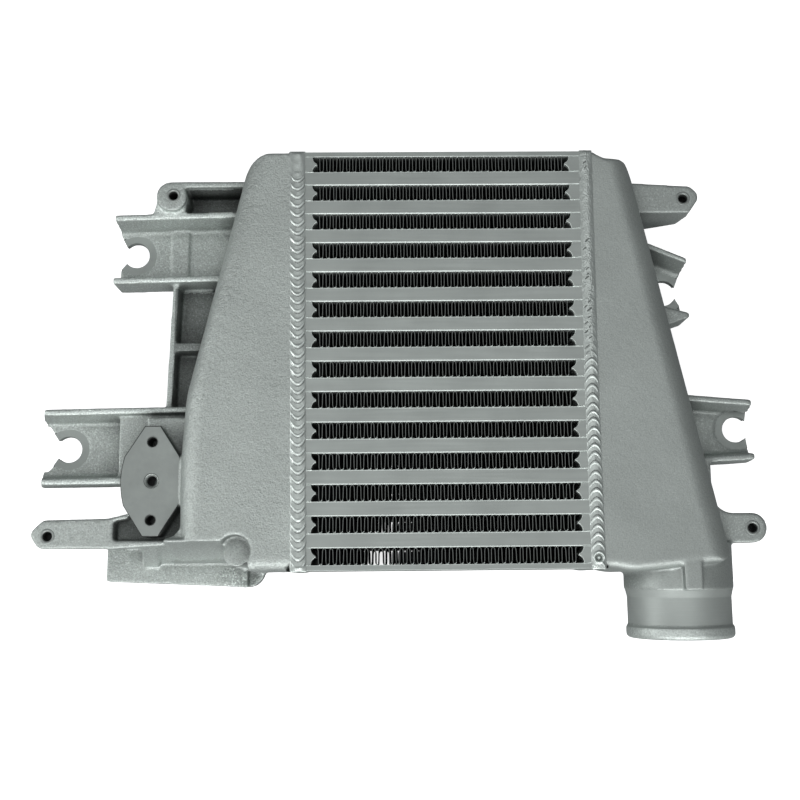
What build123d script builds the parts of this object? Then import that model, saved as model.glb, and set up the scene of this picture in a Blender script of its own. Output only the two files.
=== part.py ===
from build123d import *
import math
import os

# Bar-and-plate intercooler: a brazed aluminium core between two cast end tanks.
# Millimetres. +X runs along the charge air path, +Y across the core, +Z up through the core
# along the cooling air path. The origin is the centre of the manifold port, on the face of
# its flange, which is also the plane that the part rests on.

# Place of the core's centre in the part's frame
CORE_X, CORE_Y = 142.0, 68.0

# How far a cutting form reaches past what it cuts, how deep one form sits in the next, and
# how near a height counts as the same
PAST = 1.0
LAP = 2.0
NEAR = 0.1

# Core: rows of cooling air fins between charge air tubes
ROWS = 14
TUBES = ROWS - 1
AIR_FIN_H = 8.8
TUBE_BAR_H = 6.5
SHEET = 0.6
TUBE_H = TUBE_BAR_H + 2 * SHEET
PITCH = AIR_FIN_H + TUBE_H
SIDE_PLATE_H = 2.8
CORE_L = 160.0
CORE_BOTTOM, CORE_TOP = 2.0, 67.0
CORE_HALF_H = (ROWS * AIR_FIN_H + TUBES * TUBE_H) / 2 + SIDE_PLATE_H
TUBE_BAR_DEPTH = 8.0
AIR_FIN_L = 135.8
AIR_FIN_SET_BACK = 1.2
AIR_FIN_LEGS = 74
AIR_FIN_STOCK = 0.8
END_BAR_FACE = 71.0
END_BAR_NOSE = 68.5
NOSE_FLAT = 0.4
CORNER_HOLLOW_X, CORNER_HOLLOW_Y = 0.6, 2.0
TURBULATOR_LEGS = 14
TURBULATOR_STOCK = 0.8

# Weld beads over the seams
BEAD_W, BEAD_H, BEAD_END_H = 8.0, 1.8, 0.5
BEAD_UNDER = 0.4

# Cast tanks
WALL = 4.0
TANK_TOP = CORE_TOP
SEAM_X = CORE_L / 2
SIDE_ROUND, END_ROUND, HOSE_END_ROUND, EDGE_ROUND = 14.0, 7.0, 5.0, 3.0

# Cast arms, ears and ribs beside the tanks
RIB_TOP, WEB_TOP, WEB_BOTTOM = 44.0, 28.0, 23.5
RIB_W, RIB_DRAFT = 3.4, 9.0
LADDER_TOP = 40.0
POCKET_ROUND = 2.5
GROMMET_R, SEAT_R, SEAT_DEPTH, SEAT_REACH = 7.2, 12.3, 0.5, 3.0
MOUTH_HALF = 4.7
M6_TAP_R = 2.5
TAP_CHAMFER = 0.5
CORNER_ROUND = 9.0
POCKET_FOOT_DEPTH, POCKET_HEAD_DEPTH = 2.0, 0.7
EAR_R = 7.8

# Manifold side
FLANGE_H = 12.0
PORT_R = 23.0
FLANGE_BOLT_X, FLANGE_BOLT_Y, FLANGE_BOLT_R, FLANGE_BOLT_DEPTH = 62.0, 52.0, 3.4, 10.0
DUCT_TOP, LEDGE_TOP = 40.0, 50.0
PAD_TOP, PAD_X, PAD_Y = 54.0, -157.4, -65.8
PAD_BOLT_SPACING, PAD_BOLT_DEPTH, PAD_PORT_R, PAD_PORT_CHAMFER = 42.0, 12.0, 2.6, 1.7

# Hose side
SPIGOT_X, SPIGOT_END_Y, SPIGOT_END_Z = 128.3, -151.6, 33.0
SPIGOT_DROOP = 1.0
SPIGOT_R, SPIGOT_LIP_R, SPIGOT_COLLAR_R, SPIGOT_BORE_R = 27.7, 28.8, 29.2, 24.9
LIP_L, LIP_ROUND, COLLAR_END, COLLAR_START, BORE_L = 7.5, 2.5, 26.0, 51.0, 47.0


def at_core(x=0.0, y=0.0, z=0.0, x_dir=(1, 0, 0), z_dir=(0, 0, 1)):
    """A plane whose x and y are counted from the core's centre."""
    return Plane(origin=(CORE_X + x, CORE_Y + y, z), x_dir=x_dir, z_dir=z_dir)


def across(x, y=0.0, z=0.0):
    """An upright plane that faces +X: its own x is +Y and its own y is +Z."""
    return at_core(x, y, z, x_dir=(0, 1, 0), z_dir=(1, 0, 0))


def along(y, x=0.0, z=0.0):
    """An upright plane that faces -Y: its own x is +X and its own y is +Z."""
    return at_core(x, y, z, x_dir=(1, 0, 0), z_dir=(0, -1, 0))


def block(points, low, high, rounds=0.0):
    """A plate with the plan outline of points, from height low to high."""
    with BuildPart() as plate:
        with BuildSketch(at_core(z=low)) as plan:
            with BuildLine():
                Polyline(*points, close=True)
            make_face()
            if rounds:
                fillet(plan.vertices(), rounds)
        extrude(amount=high - low)
    return plate.part


def zigzag(length, height, legs, stock):
    """The closed outline of a folded strip, centred, with its folds at +-height/2."""
    swing = (height - stock) / 2
    step = length / legs
    ridge = [(-length / 2 + step * k, swing * (-1) ** k) for k in range(legs + 1)]
    over = [(x, y + stock / 2) for x, y in ridge]
    under = [(x, y - stock / 2) for x, y in reversed(ridge)]
    return over + under


def charge_tube(number):
    """Two brazed sheets and the two long bars that close them; open at both ends."""
    height = CORE_TOP - CORE_BOTTOM
    middle = (CORE_TOP + CORE_BOTTOM) / 2
    with BuildPart() as tube:
        with BuildSketch(across(-CORE_L / 2, (number - (TUBES + 1) / 2) * PITCH, middle)):
            Rectangle(TUBE_H, height)
            Rectangle(TUBE_BAR_H, height - 2 * TUBE_BAR_DEPTH, mode=Mode.SUBTRACT)
        extrude(amount=CORE_L)
    return tube.part


def turbulator(number):
    """The folded strip inside a charge tube; the charge air runs along its folds."""
    depth = CORE_TOP - CORE_BOTTOM - 2 * TUBE_BAR_DEPTH
    middle = (CORE_TOP + CORE_BOTTOM) / 2
    with BuildPart() as strip:
        with BuildSketch(across(-CORE_L / 2 + 1, (number - (TUBES + 1) / 2) * PITCH, middle)):
            with BuildLine(Plane.XY.rotated((0, 0, 90))):
                Polyline(*zigzag(depth, TUBE_BAR_H, TURBULATOR_LEGS, TURBULATOR_STOCK), close=True)
            make_face()
        extrude(amount=CORE_L - 2)
    return strip.part


def air_fin(number):
    """One row of folded cooling fins; the cooling air runs down through its folds."""
    with BuildPart() as row:
        low = CORE_BOTTOM + AIR_FIN_SET_BACK
        with BuildSketch(at_core(0, (number - (ROWS + 1) / 2) * PITCH, low)):
            with BuildLine():
                Polyline(*zigzag(AIR_FIN_L, AIR_FIN_H, AIR_FIN_LEGS, AIR_FIN_STOCK), close=True)
            make_face()
        extrude(amount=CORE_TOP - AIR_FIN_SET_BACK - low)
    return row.part


def air_end_bars(number):
    """The two short bars that close a fin row, each with a pointed nose towards the fins."""
    half = AIR_FIN_H / 2
    with BuildPart() as bars:
        plane = at_core(0, (number - (ROWS + 1) / 2) * PITCH, CORE_BOTTOM)
        with BuildSketch(plane):
            for side in (-1, 1):
                with BuildLine():
                    upper = ThreePointArc(
                        (side * END_BAR_FACE, half),
                        (side * (END_BAR_FACE - CORNER_HOLLOW_X), CORNER_HOLLOW_Y),
                        (side * END_BAR_NOSE, NOSE_FLAT),
                    )
                    lower = ThreePointArc(
                        (side * END_BAR_FACE, -half),
                        (side * (END_BAR_FACE - CORNER_HOLLOW_X), -CORNER_HOLLOW_Y),
                        (side * END_BAR_NOSE, -NOSE_FLAT),
                    )
                    Line(upper @ 1, lower @ 1)
                    Polyline(upper @ 0, (side * SEAM_X, half), (side * SEAM_X, -half), lower @ 0)
                make_face()
        extrude(amount=CORE_TOP - CORE_BOTTOM)
    return bars.part


def side_plate(side):
    """The plate that closes the core at its +Y or -Y end."""
    with BuildPart() as plate:
        with BuildSketch(at_core(0, side * (CORE_HALF_H - SIDE_PLATE_H / 2), CORE_BOTTOM)):
            Rectangle(CORE_L, SIDE_PLATE_H)
        extrude(amount=CORE_TOP - CORE_BOTTOM)
    return plate.part


def weld_bead(side):
    """The bead around a seam: crowned over the top and ends, a corner bead underneath."""
    seam = side * SEAM_X
    with BuildPart() as bead:
        with BuildSketch(along(CORE_HALF_H + BEAD_END_H, seam, CORE_TOP)):
            with BuildLine():
                ThreePointArc((-BEAD_W / 2, 0), (0, BEAD_H), (BEAD_W / 2, 0))
                Line((-BEAD_W / 2, 0), (BEAD_W / 2, 0))
            make_face()
        extrude(amount=2 * (CORE_HALF_H + BEAD_END_H))
        for end in (-1, 1):
            with BuildSketch(at_core(seam, end * CORE_HALF_H, CORE_BOTTOM)):
                with BuildLine():
                    ThreePointArc((-BEAD_W / 2, 0), (0, end * BEAD_END_H), (BEAD_W / 2, 0))
                    Line((-BEAD_W / 2, 0), (BEAD_W / 2, 0))
                make_face()
            extrude(amount=CORE_TOP - CORE_BOTTOM)
        with BuildSketch(along(CORE_HALF_H + BEAD_END_H, seam)):
            with BuildLine():
                Polyline(
                    (0, BEAD_UNDER), (0, CORE_BOTTOM), (-side * BEAD_W / 2, CORE_BOTTOM),
                    close=True,
                )
            make_face()
        extrude(amount=2 * (CORE_HALF_H + BEAD_END_H))
    return bead.part


def rounded_plan(plan, rounds, inset):
    """The footprint of a tank, set in by inset, with some of its corners rounded."""
    with BuildSketch() as footprint:
        with BuildLine():
            Polyline(*plan, close=True)
        make_face()
        if inset:
            offset(amount=-inset, kind=Kind.INTERSECTION)
        for x, y, radius in rounds:
            corner = footprint.vertices().sort_by_distance(Vector(x, y, 0))[0]
            fillet(corner, radius - inset)
    return footprint.sketch


def tank_form(plan, bends, corners, top_edges, inset=0.0):
    """A tank's body, or its hollow when inset.

    bends and corners list corners of the plan to round, and top_edges the edges of its top,
    each as x, y and radius. The body is the overlap of one form for each rounded top edge,
    whose plan has its gentle bends only, and an upright one whose plan has all its corners.
    """
    low, high = inset, TANK_TOP - inset
    with BuildPart() as form:
        with BuildSketch(at_core(z=low)):
            add(rounded_plan(plan, bends + corners, inset))
        extrude(amount=high - low)
        for x, y, radius in top_edges:
            if radius > inset:
                add(one_edge_rounded(plan, bends, (x, y, radius), inset), mode=Mode.INTERSECT)
    return form.part


def one_edge_rounded(plan, bends, top_edge, inset):
    """An upright form on a tank's plan, with one run of its top edge rounded."""
    low, high = inset, TANK_TOP - inset
    x, y, radius = top_edge
    with BuildPart() as form:
        with BuildSketch(at_core(z=low)):
            add(rounded_plan(plan, bends, inset))
        extrude(amount=high - low)
        near = Vector(CORE_X + x, CORE_Y + y, high)
        fillet(form.edges().group_by(Axis.Z)[-1].sort_by_distance(near)[0], radius - inset)
    return form.part


def slot_arm(side, hole, root, reach, high, low, notch_high, notch_low, lean=0.0, skew=0.0,
             mouth=MOUTH_HALF):
    """A channel-shaped arm with a grommet slot open at its end.

    hole is the slot's centre on the web. u counts outwards from it and v along +Y. high and
    low are the v of each rib's outer face, at the tip and at the root. The two notches are
    the outer corners (u, v) of the slot's V-shaped mouth. lean is how much further the end
    reaches at the web than at the ribs' tops, and skew how much further the low rib reaches.
    mouth is half the opening between the slot's lips. The ribs' inner sides have a draft.
    """
    rise = RIB_TOP - WEB_TOP
    tip = reach + lean
    beyond = max(tip + skew, notch_high[0], notch_low[0]) + 2 * PAST
    lip_u = math.sqrt(GROMMET_R ** 2 - mouth ** 2)
    foot_w = RIB_W + rise * math.tan(math.radians(RIB_DRAFT))
    with BuildPart() as arm:
        with BuildSketch(at_core(*hole, WEB_BOTTOM)):
            with BuildLine():
                Polyline(
                    (-side * root, high[1]), (side * tip, high[0]),
                    (side * (tip + skew), low[0]), (-side * root, low[1]), close=True,
                )
            make_face()
        extrude(amount=RIB_TOP - WEB_BOTTOM)
        with BuildSketch(at_core(*hole, WEB_TOP)):
            with BuildLine():
                Polyline(
                    (-side * (root + PAST), high[1] - foot_w), (side * (tip + PAST), high[0] - foot_w),
                    (side * beyond, low[0] + foot_w), (-side * (root + PAST), low[1] + foot_w),
                    close=True,
                )
            make_face()
        extrude(amount=rise, taper=-RIB_DRAFT, mode=Mode.SUBTRACT)
        at_web = arm.edges().filter_by_position(Axis.Z, WEB_TOP - NEAR, WEB_TOP + NEAR)
        fillet(at_web.filter_by(lambda edge: edge.length > root), POCKET_ROUND)
        if lean:
            with BuildSketch(along(CORE_HALF_H, hole[0], WEB_TOP)):
                with BuildLine():
                    Polyline(
                        (side * (tip + skew), 0), (side * (reach + skew), rise),
                        (side * beyond, rise + PAST), (side * beyond, 0), close=True,
                    )
                make_face()
            extrude(amount=2 * CORE_HALF_H, mode=Mode.SUBTRACT)
        with BuildSketch(at_core(*hole, WEB_TOP - SEAT_DEPTH)):
            Circle(SEAT_R)
        extrude(amount=SEAT_DEPTH + SEAT_REACH, mode=Mode.SUBTRACT)
        with BuildSketch(at_core(*hole, WEB_BOTTOM)):
            Circle(GROMMET_R)
            with BuildLine():
                Polyline(
                    (0, mouth), (side * lip_u, mouth),
                    (side * notch_high[0], notch_high[1]), (side * beyond, notch_high[1]),
                    (side * beyond, notch_low[1]), (side * notch_low[0], notch_low[1]),
                    (side * lip_u, -mouth), (0, -mouth), close=True,
                )
            make_face()
        extrude(amount=WEB_TOP - WEB_BOTTOM, mode=Mode.SUBTRACT)
    return arm.part


def upright(points, y_from, y_to):
    """A wall whose outline in x and z is points, from y_from to y_to."""
    with BuildPart() as wall:
        with BuildSketch(along(max(y_from, y_to))):
            with BuildLine():
                Polyline(*points, close=True)
            make_face()
        extrude(amount=abs(y_to - y_from))
    return wall.part


def sloped_wall(x_from, x_to, top, foot_setback=0.0, head_setback=0.0):
    """The leaning -Y wall of the manifold duct, from the flange up to height top."""
    foot_y, head_y, back_y = -111.0 + foot_setback, -99.6 + head_setback, -97.2
    with BuildPart() as wall:
        with BuildSketch(across(x_from)):
            with BuildLine():
                Polyline((back_y, 0), (foot_y, 0), (foot_y, FLANGE_H), (head_y, top), (back_y, top),
                         close=True)
            make_face()
        extrude(amount=x_to - x_from)
    return wall.part


def buttress():
    """The smooth slanting rib from the flange up to the ear's root."""
    with BuildPart() as rib:
        add(upright([(-170.4, 6.0), (-161.6, 6.0), (-153.8, LEDGE_TOP), (-161.7, LEDGE_TOP)], -92.0, -112.0))
        add(sloped_wall(-172.0, -150.0, LEDGE_TOP), mode=Mode.INTERSECT)
    return rib.part


def sensor_pad():
    """The raised seat of the sensor: straight ends, a bow on each side."""
    end_x, end_y, side_x, side_y, bow_x = 4.0, 29.3, 14.4, 13.0, 16.2
    with BuildPart() as pad:
        with BuildSketch(at_core(PAD_X, PAD_Y, WEB_BOTTOM)):
            with BuildLine():
                for side in (-1, 1):
                    ThreePointArc((side * side_x, -side_y), (side * bow_x, 0), (side * side_x, side_y))
                for end in (-1, 1):
                    Polyline((-side_x, end * side_y), (-end_x, end * end_y),
                             (end_x, end * end_y), (side_x, end * side_y))
            make_face()
        extrude(amount=PAD_TOP - WEB_BOTTOM)
    return pad.part


def tap(x, y, top, depth, radius=M6_TAP_R, sink=TAP_CHAMFER):
    """A blind or through hole drilled down from height top, with a small countersink."""
    with BuildPart() as drill:
        with BuildSketch(at_core(x, y, top - depth)):
            Circle(radius)
        extrude(amount=depth)
        with BuildSketch(at_core(x, y, top - sink)):
            Circle(radius)
        extrude(amount=sink, taper=-45)
    return drill.part


def left_form(seam_x, inset=0.0):
    """The manifold side tank's body or hollow, open at the seam."""
    plan = [
        (seam_x, CORE_HALF_H), (-107.1, CORE_HALF_H), (-139.5, -20.0), (-141.4, -50.0),
        (-141.4, -98.8), (-104.2, -98.8), (-104.2, -CORE_HALF_H), (seam_x, -CORE_HALF_H),
    ]
    bends = [(-139.5, -20.0, 60.0), (-141.4, -50.0, 120.0)]
    corners = [(-107.1, CORE_HALF_H, 17.0)]
    top_edges = [(-123.3, 47.0, SIDE_ROUND), (-92.0, -CORE_HALF_H, END_ROUND)]
    return tank_form(plan, bends, corners, top_edges, inset)


def right_form(seam_x, inset=0.0):
    """The hose side tank's body or hollow, open at the seam."""
    plan = [
        (seam_x, CORE_HALF_H), (84.0, CORE_HALF_H), (89.0, 111.6), (103.4, 110.2), (108.6, 99.0),
        (152.0, -111.0), (97.0, -116.4), (86.5, -CORE_HALF_H), (seam_x, -CORE_HALF_H),
    ]
    bends = [(97.0, -116.4, 30.0), (86.5, -CORE_HALF_H, 20.0)]
    corners = [(103.4, 110.2, 5.0), (108.6, 99.0, 8.0), (152.0, -111.0, 9.0)]
    top_edges = [(130.3, -6.0, SIDE_ROUND), (124.5, -113.7, HOSE_END_ROUND),
                 (96.2, 110.9, EDGE_ROUND), (106.0, 104.6, HOSE_END_ROUND)]
    return tank_form(plan, bends, corners, top_edges, inset)


def upper_left_mounts():
    """The threaded ear and grommet arm above the ladder of ribs."""
    ear_x, ear_y, ear_top, ear_rib_y = -151.2, 97.0, 48.0, 105.3
    boss_x, boss_y, boss_r = -152.3, 96.7, 8.6
    pad_left, pad_right, pad_y_from, pad_y_to, pad_h = -154.9, -145.2, 52.0, 82.0, 1.2
    with BuildPart() as mounts:
        add(slot_arm(-1, (-175.6, 68.0), 64, 9.2, (19.1, 20.9), (-21.5, -20.2), (10.6, 14.6), (9.8, -9.8)))
        add(block([(-153.0, 86.0), (-110.0, 86.0), (-110.0, ear_rib_y - 1), (-153.0, ear_rib_y - 1)],
                  WEB_BOTTOM, WEB_TOP))
        add(block([(-153.0, ear_rib_y - RIB_W), (-108.0, ear_rib_y - RIB_W),
                   (-108.0, ear_rib_y), (-153.0, ear_rib_y)], WEB_BOTTOM, ear_top))
        add(block([(-160.9, boss_y), (-163.8, 86.0), (-145.0, 86.0), (-144.2, boss_y)],
                  WEB_BOTTOM, RIB_TOP))
        add(block([(pad_left, pad_y_from), (pad_right, pad_y_from), (pad_right, pad_y_to),
                   (pad_left, pad_y_to)], WEB_BOTTOM, WEB_TOP + pad_h))
        with BuildSketch(at_core(boss_x, boss_y, WEB_BOTTOM)):
            Circle(boss_r)
        extrude(amount=ear_top - WEB_BOTTOM)
        add(tap(ear_x, ear_y, ear_top, ear_top - WEB_BOTTOM), mode=Mode.SUBTRACT)
    return mounts.part


def ladder():
    """The floor and ribs that join the two left arms beside the tank."""
    high_y, low_y, cross_y, cross_half = 46.0, -26.0, 10.7, 2.4
    with BuildPart() as frame:
        add(block([(-151.6, high_y), (-153.9, low_y), (-120.0, low_y), (-112.0, high_y)],
                  WEB_BOTTOM, WEB_TOP))
        add(block([(-151.6, high_y), (-153.9, low_y), (-153.9 + RIB_W, low_y), (-151.6 + RIB_W, high_y)],
                  WEB_BOTTOM, LADDER_TOP))
        add(block([(-152.0, cross_y + cross_half), (-122.0, cross_y + cross_half),
                   (-122.0, cross_y - cross_half), (-152.0, cross_y - cross_half)],
                  WEB_BOTTOM, LADDER_TOP))
    return frame.part


def lower_left_mounts():
    """The lower grommet arm, the sensor pad on the duct, and the threaded ear beside it."""
    ear_x, ear_y, ear_low = -213.0, -94.7, 42.0
    recess_corner_h, recess_end_x, pad_shoulder = 9.0, -178.0, 47.0
    with BuildPart() as mounts:
        add(slot_arm(-1, (-210.1, -45.4), 69.5, 7.8, (20.5, 21.6), (-21.5, -20.6), (12.6, 15.4),
                     (10.8, -12.4), lean=5.0, skew=1.6))
        add(block([(-179.0, -27.0), (-179.0, -64.0), (-171.0, -70.0), (-168.0, -84.0), (-178.3, -86.0),
                   (-178.3, -100.0), (-138.0, -100.0), (-138.0, -27.0)], 0, DUCT_TOP))
        add(sloped_wall(-166.0, -140.0, LEDGE_TOP, POCKET_FOOT_DEPTH, POCKET_HEAD_DEPTH))
        add(sloped_wall(-148.0, -104.0, TANK_TOP - 3, POCKET_FOOT_DEPTH, POCKET_HEAD_DEPTH))
        add(buttress())
        add(block([(-182.0, -97.2), (-140.0, -97.2), (-140.0, -99.6), (-165.0, -101.0), (-182.0, -102.0)],
                  DUCT_TOP - LAP, LEDGE_TOP))
        add(block([(-170.5, -83.0), (-182.0, -85.6), (-182.0, -87.6), (-170.0, -85.6)],
                  DUCT_TOP - LAP, LEDGE_TOP))
        add(block([(recess_end_x, -86.0), (recess_end_x, -99.0), (-182.0, -99.0), (-182.0, -86.0)],
                  DUCT_TOP - LAP, LEDGE_TOP))
        add(block([(-140.0, -90.0), (-141.4, -92.6), (-143.8, -95.4), (-149.4, -97.3),
                   (-149.4, -99.2), (-140.0, -99.2)], DUCT_TOP - LAP, LEDGE_TOP + recess_corner_h))
        add(block([(-162.5, -30.6), (-138.0, -30.6), (-138.0, -54.0), (-150.0, -54.0),
                   (-150.0, -40.0), (-161.0, -40.0)], DUCT_TOP - LAP, pad_shoulder))
        with BuildSketch(at_core(z=ear_low)) as ear:
            with BuildLine():
                Polyline((-178.3, -85.4), (-215.6, -86.0), (-223.4, -93.4), (-217.6, -101.3),
                         (-181.0, -101.5), (-178.3, -102.0), close=True)
            make_face()
            fillet(ear.vertices().sort_by(Axis.X)[:3], 4)
        extrude(amount=LEDGE_TOP - ear_low)
        add(sensor_pad())
        add(tap(ear_x, ear_y, LEDGE_TOP, LEDGE_TOP - ear_low), mode=Mode.SUBTRACT)
    return mounts.part


def manifold_flange():
    """The plate that seats on the manifold, with its stepped corner."""
    corner_x, corner_y, step_x, step_y = -101.5, -123.2, -110.5, -112.5
    with BuildPart() as flange:
        with BuildSketch(at_core()) as plan:
            with BuildLine():
                Polyline((-190.5, -118.9), (corner_x, corner_y), (corner_x, -32.0), (-182.0, -32.0),
                         (-182.0, -62.0), (-176.0, -66.0), (-176.0, -84.0), (-190.5, -88.0), close=True)
            make_face()
            fillet(plan.vertices().sort_by_distance(Vector(corner_x, corner_y, 0))[0], CORNER_ROUND)
        extrude(amount=FLANGE_H)
        with BuildSketch(at_core(step_x, step_y, FLANGE_H / 2)):
            Rectangle(2 * CORNER_ROUND, 2 * CORNER_ROUND, align=(Align.MIN, Align.MAX))
        extrude(amount=FLANGE_H / 2, mode=Mode.SUBTRACT)
    return flange.part


def manifold_holes():
    """The port and the blind bolt holes of the flange."""
    with BuildPart() as holes:
        with BuildSketch(at_core(-CORE_X, -CORE_Y)):
            Circle(PORT_R)
        extrude(amount=FLANGE_H)
        with BuildSketch(at_core(-CORE_X, -CORE_Y)):
            with GridLocations(FLANGE_BOLT_X, FLANGE_BOLT_Y, 2, 2):
                Circle(FLANGE_BOLT_R)
        extrude(amount=FLANGE_BOLT_DEPTH)
    return holes.part


def pad_holes():
    """The two tapped holes of the sensor pad and the port between them, into the duct."""
    with BuildPart() as holes:
        for side in (-1, 1):
            add(tap(PAD_X, PAD_Y + side * PAD_BOLT_SPACING / 2, PAD_TOP, PAD_BOLT_DEPTH))
        add(tap(PAD_X, PAD_Y, PAD_TOP, PAD_TOP - DUCT_TOP + WALL, PAD_PORT_R, PAD_PORT_CHAMFER))
    return holes.part


def post(x, y, radius, low, high):
    """An upright round post."""
    with BuildPart() as column:
        with BuildSketch(at_core(x, y, low)):
            Circle(radius)
        extrude(amount=high - low)
    return column.part


def left_tank():
    """The manifold side tank: one casting with its duct, flange, arms, ears and sensor pad."""
    boss_x, boss_y, boss_r, boss_top, scoop = -110.9, -104.6, 7.1, 57.0, 1.4
    duct = [(-174.0, -34.0), (-174.0, -62.0), (-166.5, -71.0), (-166.5, -92.0),
            (-130.0, -92.0), (-130.0, -34.0)]
    with BuildPart() as tank:
        add(left_form(-SEAM_X))
        add(upper_left_mounts())
        add(ladder())
        add(lower_left_mounts())
        add(post(boss_x, boss_y + scoop / 2, boss_r + scoop, boss_top, TANK_TOP), mode=Mode.SUBTRACT)
        add(post(boss_x, boss_y, boss_r, 0, boss_top))
        add(left_form(-SEAM_X + WALL, WALL), mode=Mode.SUBTRACT)
        add(block(duct, 0, DUCT_TOP - WALL), mode=Mode.SUBTRACT)
        add(manifold_flange())
        add(manifold_holes(), mode=Mode.SUBTRACT)
        add(pad_holes(), mode=Mode.SUBTRACT)
    return tank.part


def spigot():
    """The hose spigot: a cast collar, the turned pipe and a rounded lip at its mouth."""
    droop = math.radians(SPIGOT_DROOP)
    inwards = (0, math.cos(droop), math.sin(droop))
    mouth = at_core(SPIGOT_X, SPIGOT_END_Y, SPIGOT_END_Z, z_dir=inwards)
    lug_from, lug_to, lug_end, lug_foot, lug_top = 123.4, 132.8, -126.0, 54.4, 66.4
    with BuildPart() as pipe:
        with BuildSketch(mouth):
            Circle(SPIGOT_LIP_R)
        extrude(amount=LIP_L)
        fillet(pipe.edges().filter_by(GeomType.CIRCLE), LIP_ROUND)
        with BuildSketch(mouth.offset(LIP_ROUND)):
            Circle(SPIGOT_R)
        extrude(amount=COLLAR_START - LIP_ROUND)
        with BuildSketch(mouth.offset(COLLAR_END)):
            Circle(SPIGOT_COLLAR_R)
        extrude(amount=COLLAR_START - COLLAR_END)
        add(upright([(lug_from, lug_foot), (lug_to, lug_foot), (lug_to, lug_top), (lug_from, lug_top)],
                    lug_end, -100.0))
    with BuildPart() as bore:
        with BuildSketch(mouth):
            Circle(SPIGOT_BORE_R)
        extrude(amount=BORE_L)
    return pipe.part, bore.part


def right_mounts():
    """The threaded ears and grommet arms of the hose side tank."""
    ear_top, ear_low = 48.0, 40.0
    low_ear_top, low_ear_low = 44.0, 36.0
    with BuildPart() as mounts:
        with BuildSketch(at_core(z=ear_low)) as ear:
            with BuildLine():
                Polyline((102.0, 103.8), (143.6, 101.2), (149.2, 95.4), (142.2, 85.4), (102.0, 85.4),
                         close=True)
            make_face()
            for spot in ((143.6, 101.2), (149.2, 95.4)):
                fillet(ear.vertices().sort_by_distance(Vector(*spot, 0))[0], 5)
        extrude(amount=ear_top - ear_low)
        add(upright([(104.0, ear_top - PAST), (141.0, ear_top - PAST), (143.0, ear_low), (140.0, 26.5),
                     (104.0, 7.0)], 88.9, 85.4))
        add(slot_arm(1, (130.2, 43.4), 22, 10.0, (16.4, 30.0), (-18.4, -29.4), (9.4, 10.2), (10.4, -9.8),
                     mouth=3.2))
        add(block([(140.2, 27.8), (139.2, 25.0), (108.0, 14.0), (108.0, 36.6)], WEB_BOTTOM, RIB_TOP))
        add(slot_arm(1, (167.3, -36.9), 38, 4.6, (14.5, 18.3), (-18.8, -21.2), (6.8, 11.7), (6.4, -11.0),
                     lean=2.2))
        with BuildSketch(at_core(z=low_ear_low)) as ear:
            with BuildLine():
                Polyline((136.0, -57.0), (147.2, -57.0), (147.2, -85.0), (176.0, -85.0),
                         (176.0, -101.2), (136.0, -101.2), close=True)
            make_face()
            fillet(ear.vertices().sort_by_distance(Vector(147.2, -85.0, 0))[0], 11)
            for spot in ((176.0, -85.0), (176.0, -101.2)):
                fillet(ear.vertices().sort_by_distance(Vector(*spot, 0))[0], EAR_R)
        extrude(amount=low_ear_top - low_ear_low)
        add(tap(139.0, 93.8, ear_top, ear_top - ear_low), mode=Mode.SUBTRACT)
        add(tap(168.1, -93.2, low_ear_top, low_ear_top - low_ear_low), mode=Mode.SUBTRACT)
    return mounts.part


def right_tank():
    """The hose side tank: one casting with its spigot, ears and arms."""
    pipe, bore = spigot()
    with BuildPart() as tank:
        add(right_form(SEAM_X))
        add(pipe)
        add(right_mounts())
        add(right_form(SEAM_X - WALL, WALL), mode=Mode.SUBTRACT)
        add(bore, mode=Mode.SUBTRACT)
    return tank.part


def write(part, name):
    """Label a piece and write its STEP file."""
    part.label = name
    export_step(part, f"parts/{name}.step")


if __name__ == "__main__":
    os.makedirs("parts", exist_ok=True)
    for number in range(1, TUBES + 1):
        write(charge_tube(number), f"charge_tube_{number:02d}")
        write(turbulator(number), f"turbulator_{number:02d}")
    for number in range(1, ROWS + 1):
        write(air_fin(number), f"air_fin_{number:02d}")
        write(air_end_bars(number), f"air_end_bars_{number:02d}")
    write(side_plate(1), "side_plate_upper")
    write(side_plate(-1), "side_plate_lower")
    write(weld_bead(-1), "weld_bead_left")
    write(weld_bead(1), "weld_bead_right")
    write(left_tank(), "tank_manifold_side")
    write(right_tank(), "tank_hose_side")
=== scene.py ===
import math
import random

import bmesh
import bpy
import numpy as np
from mathutils import Matrix, Vector, noise


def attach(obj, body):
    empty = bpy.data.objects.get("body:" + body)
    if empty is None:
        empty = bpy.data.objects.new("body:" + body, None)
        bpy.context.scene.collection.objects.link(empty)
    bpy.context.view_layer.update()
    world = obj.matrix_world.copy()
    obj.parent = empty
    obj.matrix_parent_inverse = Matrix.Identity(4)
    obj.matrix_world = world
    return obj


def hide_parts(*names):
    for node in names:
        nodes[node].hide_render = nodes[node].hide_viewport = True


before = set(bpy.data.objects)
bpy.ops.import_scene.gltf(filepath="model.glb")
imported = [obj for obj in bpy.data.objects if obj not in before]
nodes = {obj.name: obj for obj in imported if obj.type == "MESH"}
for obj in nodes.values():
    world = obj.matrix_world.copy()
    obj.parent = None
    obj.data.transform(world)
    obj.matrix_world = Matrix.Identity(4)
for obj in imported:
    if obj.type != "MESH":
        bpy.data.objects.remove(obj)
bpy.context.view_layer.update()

MM = 0.001
# Core millimetres: x and y from the core's centre, z from the flange's gasket face
CORE_X, CORE_Y = 142.0, 68.0
CORE_CENTRE = np.array((CORE_X, CORE_Y, 0.0))
CORE_TOP, CORE_BOTTOM = 67.0, 2.0
CORE_HALF_H = 114.45
PITCH, ROWS = 16.5, 14
FIN_H = 8.8
DRILL_R = 2.5
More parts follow.
